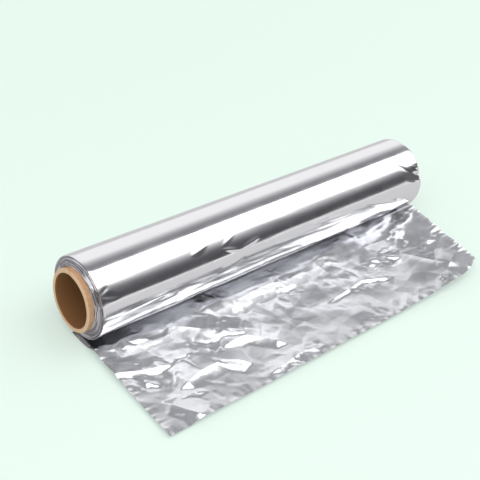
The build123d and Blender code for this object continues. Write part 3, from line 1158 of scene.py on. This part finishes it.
    def build_spiral(self, finish: bpy.types.Material) -> bpy.types.Object:
        """Wind the web with the node tree and keep the result as a plain mesh.

        Args:
            finish: The material of the slit edges.

        Returns:
            The spiral, with its modifier removed.
        """
        carrier = mesh_piece("foil_turns", np.zeros((1, 3)), np.zeros((0, 4), dtype=int))
        tree = self.spiral_tree()
        modifier = carrier.modifiers.new("wind", "NODES")
        modifier.node_group = tree
        named = next(item for item in tree.interface.items_tree if item.name == "Material")
        modifier[named.identifier] = finish
        evaluated = carrier.evaluated_get(bpy.context.evaluated_depsgraph_get())
        wound = bpy.data.meshes.new_from_object(evaluated)
        carrier.modifiers.clear()
        carrier.data = wound
        points = np.empty(len(wound.vertices) * 3)
        wound.vertices.foreach_get("co", points)
        wound.vertices.foreach_set("co", (self.settled(points.reshape(-1, 3) / MM) * MM).ravel())
        wound.update()
        return carrier

    def settled(self, points: np.ndarray) -> np.ndarray:
        """Press the wound web as the roll is: dented, slid out at one end, oval inside and flat below.

        Args:
            points: Places of the true spiral's vertices, one row each.

        Returns:
            The new places.
        """
        x, y, z = points.T
        bearing = np.degrees(np.arctan2(z, -y))
        radius = np.hypot(y, z)
        share = np.clip((radius - self.inner_radius) / (self.outer_radius - self.inner_radius), 0.0, 1.0)
        scale = (radius - share ** 2 * self.dent(x, bearing)) / radius
        oval = smooth((1.0 - share) * 1.1)
        slid = self.telescope * (1.0 - share) * smooth(-x / self.slide_width)
        lowest = -(self.outer_radius - self.flat_spot - 0.05)
        return np.stack([
            np.maximum(x - slid, -self.web_width / 2 - self.telescope),
            y * (scale * (1.0 - OVAL_Y * oval)),
            np.maximum(z * scale * (1.0 - OVAL_Z * oval), lowest),
        ], -1)

    def dent(self, x: np.ndarray, bearing: np.ndarray) -> np.ndarray:
        """Depth of the crushed place on the +X rim.

        Args:
            x: Places along the roll.
            bearing: Bearings of those places.

        Returns:
            Depths in millimetres.
        """
        reach = np.clip(1.0 - (self.web_width / 2 - x) / self.dent_reach, 0.0, 1.0)
        arc = np.radians(bearing - self.dent_bearing) * self.outer_radius
        valley = np.maximum(0.0, 1.0 - np.abs(arc - self.dent_shift * (1.0 - reach)) / self.dent_width)
        folds = self.dent_fold * np.abs(np.sin(0.9 * arc + 0.35 * x)) * (np.abs(arc) < self.dent_fold_width)
        return reach * (self.dent_depth * valley + folds * reach)

    def ripple(self, x: np.ndarray, bearing: np.ndarray) -> np.ndarray:
        """Lift of the last turn off a true cylinder: long soft waves and lens-shaped wrinkles.

        Args:
            x: Places along the roll.
            bearing: Bearings of those places.

        Returns:
            Heights in millimetres; they add to the radius.
        """
        arc = np.radians(bearing) * self.outer_radius
        total = np.zeros_like(x)
        for rise, round_it, along_it, bend, pace, shift, bend_shift in self.swells:
            bent = bend * np.sin(x * pace + bend_shift)
            total = total + rise * np.sin(arc * round_it + x * along_it + bent + shift)
        for place, at, half, flank, rise, lean in self.wrinkles:
            along = x - place
            across = arc - math.radians(at) * self.outer_radius - along * math.tan(math.radians(lean))
            lens = np.maximum(0.0, 1.0 - (along / half) ** 2)
            total = total + rise * np.maximum(0.0, lens - np.abs(across) / flank)
        return total

    def skin_radius(self, x: np.ndarray, bearing: np.ndarray) -> np.ndarray:
        """Outside radius of the last turn, rounded at its rims.

        Args:
            x: Places along the roll.
            bearing: Bearings of those places.

        Returns:
            Radii in millimetres.
        """
        rim = np.maximum(0.0, np.abs(x) - (self.web_width / 2 - self.rim)) / self.rim
        radius = self.outer_radius - self.rim_fall * rim ** 2 - self.dent(x, bearing)
        middle, edge, fade = self.front
        front = smooth((edge - np.abs(bearing - middle)) / fade)
        radius = radius + self.ripple(x, bearing) * front - self.back_shrink * (1.0 - front)
        on_top = np.abs(bearing - self.top[0]) < self.top[1]
        return np.where(on_top, np.minimum(radius, self.outer_radius - 0.01), radius)

    def build_skin(self) -> bpy.types.Object:
        """Build the last turn as a closed tube, flat where it rests.

        Returns:
            The last turn.
        """
        half = self.web_width / 2
        bearing = np.linspace(-180.0, 180.0, self.around, endpoint=False)
        low = -(self.outer_radius - self.flat_spot)
        layers, faces, first = [], [], 0
        for columns, outside in ((self.columns, True), (self.inner_columns, False)):
            xs, bs = np.meshgrid(np.linspace(-half, half, columns), bearing, indexing="ij")
            radius = self.skin_radius(xs, bs)
            if not outside:
                radius = np.minimum(radius - 0.2, self.outer_radius - self.skin + 0.02)
            y = -radius * np.cos(np.radians(bs))
            z = np.maximum(radius * np.sin(np.radians(bs)), low + (0.0 if outside else 0.1))
            layers.append(np.stack([xs, y, z], -1).reshape(-1, 3))
            faces.append(grid_faces(columns, self.around, first=first, wrap_rows=True, flip=outside))
            first += columns * self.around
        ring = np.arange(self.around)
        after = np.roll(ring, -1)
        count = self.columns * self.around
        last = count - self.around
        last_in = first - self.around
        faces.append(np.stack([ring, after, after + count, ring + count], -1))
        faces.append(np.stack([after + last, ring + last, ring + last_in, after + last_in], -1))
        return mesh_piece("foil_last_turn", np.concatenate(layers) * MM, np.concatenate(faces))

    def dress(self, spiral: bpy.types.Object, skin: bpy.types.Object, bright: bpy.types.Material) -> None:
        """Give the last turn the bright face, and tie both pieces to the frame.

        Args:
            spiral: The wound web.
            skin: The last turn.
            bright: The last turn's material.
        """
        skin.data.materials.append(bright)
        for piece in (spiral, skin):
            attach(piece, "root")
            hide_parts("foil")


@dataclass
class CoreTube:
    """The cardboard tube: spirally wound board with worn mouths.

    Attributes:
        length: Whole length.
        bore_radius: Inside radius.
        outer_radius: Outside radius.
        lip: Wear on the mouths' edges.
        lip_steps: Shares of that wear at which its curve has a vertex.
        wobble: How far the mouths are out of true.
        mouth_width: How far in from a mouth it is out of true.
        seam_pitch: How far the seam moves along the tube in one turn.
        seam_depth: Depth of the seam's groove.
        seam_width: Half width of that groove, in turns.
        stations: Count of vertices along each wall.
        around: Count of vertices round the tube.
    """

    length: float = 312.0
    bore_radius: float = 19.0
    outer_radius: float = 22.0
    lip: float = 0.5
    lip_steps: tuple[float, ...] = (0.0, 0.15, 0.5, 1.0)
    wobble: float = 0.22
    mouth_width: float = 3.0
    seam_pitch: float = 70.0
    seam_depth: float = 0.10
    seam_width: float = 0.012
    stations: int = 60
    around: int = 160

    def build(self) -> bpy.types.Object:
        """Build the tube as one closed section turned round the axis, a little out of true at its mouths.

        Returns:
            The tube.
        """
        half = self.length / 2
        middle = (self.outer_radius + self.bore_radius) / 2
        worn = [(self.lip * (1.0 - s) ** 2, self.lip * s ** 2) for s in self.lip_steps]
        mouth = [(half - back, self.outer_radius - down) for back, down in worn] + [(half, middle)]
        mouth += [(half - down, self.bore_radius + back) for back, down in worn]
        stations = np.linspace(half - 2.0, -(half - 2.0), self.stations)
        section = mouth + [(x, self.bore_radius) for x in stations]
        section += [(-x, r) for x, r in reversed(mouth)]
        section += [(x, self.outer_radius) for x in stations[::-1]]
        profile = np.array(section)
        angle = np.linspace(0.0, 2.0 * math.pi, self.around, endpoint=False)
        x, a = np.meshgrid(profile[:, 0], angle, indexing="ij")
        radius = np.repeat(profile[:, 1][:, None], self.around, axis=1)
        near_mouth = smooth((np.abs(x) - (half - self.mouth_width)) / self.mouth_width)
        wave = 0.5 + 0.25 * np.sin(2.0 * a + 0.7) + 0.15 * np.sin(5.0 * a + 1.9) + 0.1 * np.sin(11.0 * a)
        x = x - np.sign(x) * near_mouth * self.wobble * wave
        seam = np.abs(np.mod(x / self.seam_pitch + a / (2.0 * math.pi) + 0.5, 1.0) - 0.5)
        groove = self.seam_depth * np.maximum(0.0, 1.0 - seam / self.seam_width)
        radius = radius - np.where(radius > middle, groove, -groove)
        y = radius * np.cos(a) * (1.0 - OVAL_Y)
        z = radius * np.sin(a) * (1.0 - OVAL_Z)
        points = np.stack([x, y, z], -1).reshape(-1, 3) * MM
        rings = len(profile)
        faces = grid_faces(rings, self.around, wrap_rows=True, flip=True)
        ring = np.arange(self.around)
        after = np.roll(ring, -1)
        last = (rings - 1) * self.around
        closing = np.stack([ring + last, ring, after, after + last], -1)
        return mesh_piece("core_board_tube", points, np.concatenate([faces, closing]))

    def dress(self, piece: bpy.types.Object, board: bpy.types.Material) -> None:
        """Give the tube its board and tie it to the frame.

        Args:
            piece: The tube.
            board: Its material.
        """
        piece.data.materials.append(board)
        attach(piece, "root")
        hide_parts("core_tube")


@dataclass
class Studio:
    """Pale floor, soft overhead box, dark and grey cards for the metal to mirror, and the camera.

    Attributes:
        floor_height: Height of the floor, in millimetres from the roll's axis.
        floor_side: How far the floor reaches, in metres as all the sizes below.
        camera_place: Where the camera stands.
        azimuth: Degrees from straight ahead, turned towards -X where below zero.
        elevation: Degrees above the horizontal.
        roll: Turn of the camera about its own axis, in degrees.
        focal_px: Focal length in pixels of the photograph.
        photo_px: Width of the photograph.
        backdrop: sRGB colour of the floor and the backdrop as seen.
        mirrored_floor: sRGB colour of the floor as the metal mirrors it.
        mirrored_room: sRGB colour of the room as the metal mirrors it.
        floor_glow: Share of the floor that shows its own colour near the object.
        even_from: Distance from which that share grows.
        even_to: Distance at which the whole floor shows its own colour.
        fill: Strength of the soft light from all round.
        box_height: Height of the overhead box.
        box_front: Place of its edge on the sheet's side.
        box_rear: Place of its other edge.
        box_reach: Half its length.
        box_radiance: Its brightness; 1 is white.
        card_reach: Half the length of the cards.
        grey_end: Place where the grey card behind the box ends.
        grey_tones: Its ramp, from the box backwards.
        dark_low: Place and height of the low edge of the dark card in front.
        dark_high: Place and height of its high edge.
        dark_tones: Its ramp, upwards.
    """

    floor_height: float = -27.87
    floor_side: float = 6.0
    camera_place: tuple[float, float, float] = (-0.4115, -0.3598, 0.3979)
    azimuth: float = -47.81
    elevation: float = 37.03
    roll: float = 11.65
    focal_px: float = 946.0
    photo_px: float = 480.0
    backdrop: str = "#ECFDF4"
    mirrored_floor: str = "#D4D3D4"
    mirrored_room: str = "#FCFCFC"
    floor_glow: float = 0.35
    even_from: float = 0.22
    even_to: float = 0.80
    fill: float = 0.60
    box_height: float = 1.6
    box_front: float = -1.25
    box_rear: float = 0.22
    box_reach: float = 2.6
    box_radiance: float = 1.22
    card_reach: float = 4.0
    grey_end: float = 2.12
    grey_tones: tuple[tuple[float, str], ...] = (
        (0.0, "#818185"), (0.24, "#898A8D"), (0.43, "#B5B5B7"), (0.54, "#D4D4D5"),
        (0.67, "#E9E9EA"), (0.82, "#FAFAFA"), (1.0, "#FCFCFC"),
    )
    dark_low: tuple[float, float] = (-2.49, 0.25)
    dark_high: tuple[float, float] = (-1.55, 1.85)
    dark_tones: tuple[tuple[float, str], ...] = (
        (0.0, "#464649"), (0.28, "#4E4E51"), (0.46, "#59595C"), (0.64, "#6F6F72"),
        (0.82, "#A0A0A2"), (1.0, "#F2F2F2"),
    )

    def build_camera(self) -> None:
        """Place the camera as the photograph has it."""
        a, e, turn = (math.radians(v) for v in (self.azimuth, self.elevation, self.roll))
        back = Vector((math.sin(a) * math.cos(e), -math.cos(a) * math.cos(e), math.sin(e)))
        level = Vector((math.cos(a), math.sin(a), 0.0))
        upright = back.cross(level)
        right = math.cos(turn) * level + math.sin(turn) * upright
        up = -math.sin(turn) * level + math.cos(turn) * upright
        data = bpy.data.cameras.new("camera")
        data.sensor_width = 36.0
        data.lens = self.focal_px / self.photo_px * data.sensor_width
        data.clip_start, data.clip_end = 0.02, 50.0
        camera = bpy.data.objects.new("camera", data)
        axes = Matrix((right, up, back)).transposed().to_4x4()
        camera.matrix_world = Matrix.Translation(self.camera_place) @ axes
        bpy.context.collection.objects.link(camera)
        bpy.context.scene.camera = camera

    def plane(
        self, name: str, reach: float, near: tuple[float, float], far: tuple[float, float],
    ) -> bpy.types.Object:
        """Make one flat four-cornered stage piece, level along X.

        Args:
            name: The piece's name.
            reach: Half its length.
            near: Y and height of one long edge.
            far: Y and height of the other.

        Returns:
            The piece.
        """
        corners = [(-reach, *near), (reach, *near), (reach, *far), (-reach, *far)]
        piece = mesh_piece(name, np.array(corners), np.array([[0, 1, 2, 3]]), crease=None)
        return piece

    def card(
        self, name: str, near: tuple[float, float], far: tuple[float, float],
        tones: Sequence[tuple[float, str]], axis: str,
    ) -> None:
        """Hang a card that only the metal mirrors.

        Args:
            name: The card's name.
            near: Y and height of the edge where its ramp starts.
            far: Y and height of the edge where its ramp ends.
            tones: Ramp of its brightness.
            axis: Axis along which the ramp runs, Y or Z.
        """
        piece = self.plane(name, self.card_reach, near, far)
        material, tree, place = new_material(f"{name}_paper")
        parts = add(tree, "ShaderNodeSeparateXYZ", {"Vector": place}).outputs
        number = "YZ".index(axis)
        way = add(tree, "ShaderNodeMapRange", {
            "Value": parts[axis], "From Min": near[number], "From Max": far[number],
        })
        shade = add(tree, "ShaderNodeValToRGB", {"Fac": way}, stops=tones)
        glow = add(tree, "ShaderNodeEmission", {"Color": shade, "Strength": 1.0})
        add(tree, "ShaderNodeOutputMaterial", {"Surface": glow})
        piece.data.materials.append(material)
        piece.visible_camera = False
        piece.visible_diffuse = False
        piece.visible_shadow = False
        piece.visible_transmission = False

    def build_floor(self) -> None:
        """Lay the pale floor."""
        side, z = self.floor_side, self.floor_height * MM
        floor = self.plane("floor", side, (-side, z), (side, z))
        material, tree, place = new_material("painted_board_floor")
        path = add(tree, "ShaderNodeLightPath").outputs
        colour = add(tree, "ShaderNodeMix", {
            "Factor": path["Is Glossy Ray"], "A": linear(self.backdrop), "B": linear(self.mirrored_floor),
        }, data_type="RGBA")
        shader = add(tree, "ShaderNodeBsdfPrincipled", {
            "Base Color": colour, "Roughness": 0.9, "Specular IOR Level": 0.0,
        })
        own = add(tree, "ShaderNodeEmission", {"Color": linear(self.backdrop), "Strength": 1.0})
        far = add(tree, "ShaderNodeVectorMath", {0: place}, operation="LENGTH")
        even = add(tree, "ShaderNodeMapRange", {
            "Value": far, "From Min": self.even_from, "From Max": self.even_to,
            "To Min": self.floor_glow, "To Max": 1.0,
        })
        share = add(tree, "ShaderNodeMath", {0: path["Is Camera Ray"], 1: even}, operation="MULTIPLY")
        mixed = add(tree, "ShaderNodeMixShader", {0: share, 1: shader, 2: own})
        add(tree, "ShaderNodeOutputMaterial", {"Surface": mixed})
        floor.data.materials.append(material)

    def build_world(self) -> None:
        """Fill the room: the pale backdrop where it is seen or mirrored, and a soft fill elsewhere."""
        world = bpy.data.worlds.new("room")
        world.use_nodes = True
        tree = world.node_tree
        tree.nodes.clear()
        path = add(tree, "ShaderNodeLightPath").outputs
        glossy = path["Is Glossy Ray"]
        seen = add(tree, "ShaderNodeMath", {0: path["Is Camera Ray"], 1: glossy}, operation="MAXIMUM")
        seen = add(tree, "ShaderNodeMath", {0: seen, 1: path["Is Transmission Ray"]}, operation="MAXIMUM")
        fill = add(tree, "ShaderNodeBackground", {"Color": linear("#FFFFFF"), "Strength": self.fill})
        tone = add(tree, "ShaderNodeMix", {
            "Factor": glossy, "A": linear(self.backdrop), "B": linear(self.mirrored_room),
        }, data_type="RGBA")
        pale = add(tree, "ShaderNodeBackground", {"Color": tone, "Strength": 1.0})
        mixed = add(tree, "ShaderNodeMixShader", {0: seen, 1: fill, 2: pale})
        add(tree, "ShaderNodeOutputWorld", {"Surface": mixed})
        bpy.context.scene.world = world

    def build_lights(self) -> None:
        """Hang the long soft box overhead, and the cards in front of it and behind it."""
        data = bpy.data.lights.new("overhead_box", "AREA")
        data.shape = "RECTANGLE"
        data.size, data.size_y = 2.0 * self.box_reach, self.box_rear - self.box_front
        data.energy = self.box_radiance * math.pi * data.size * data.size_y
        lamp = bpy.data.objects.new("overhead_box", data)
        lamp.location = (0.0, (self.box_front + self.box_rear) / 2, self.box_height)
        lamp.visible_camera = False
        bpy.context.collection.objects.link(lamp)
        rear, end = ((place, self.box_height) for place in (self.box_rear, self.grey_end))
        self.card("grey_card", rear, end, self.grey_tones, "Y")
        self.card("dark_card", self.dark_low, self.dark_high, self.dark_tones, "Z")

    def build(self) -> None:
        """Build the whole studio and set the view transform."""
        self.build_camera()
        self.build_floor()
        self.build_world()
        self.build_lights()
        bpy.context.scene.view_settings.view_transform = "Standard"


def report(piece: bpy.types.Object) -> None:
    """Log a finished piece with its face count."""
    LOG.info("%s: %d faces", piece.name, len(piece.data.polygons))


def main() -> None:
    """Build the roll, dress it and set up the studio."""
    logging.basicConfig(level=logging.INFO, format="%(name)s %(message)s")
    bright = FoilFinish(
        side=Side.BRIGHT, tint="#F1F1F3", roughness=0.15, spread=0.03, line_mm=0.5,
        line_relief_mm=0.0022, dimple_mm=4.5, dimple_relief_mm=0.012).material()
    matt = FoilFinish(
        side=Side.MATT, tint="#EEEFF2", roughness=0.235, spread=0.03, line_mm=0.6,
        line_relief_mm=0.0015, dimple_mm=3.2, dimple_relief_mm=0.018).material()
    edges = TurnEdgeFinish().material()
    board = CardboardFinish().material()

    sheet = PaidOutSheet()
    sheet_piece = sheet.build()
    sheet.dress(sheet_piece, matt, bright)

    turns = WoundTurns()
    spiral = turns.build_spiral(edges)
    skin = turns.build_skin()
    turns.dress(spiral, skin, bright)

    core = CoreTube()
    tube = core.build()
    core.dress(tube, board)

    for piece in (sheet_piece, spiral, skin, tube):
        report(piece)
    Studio().build()


if __name__ == "__main__":
    main()
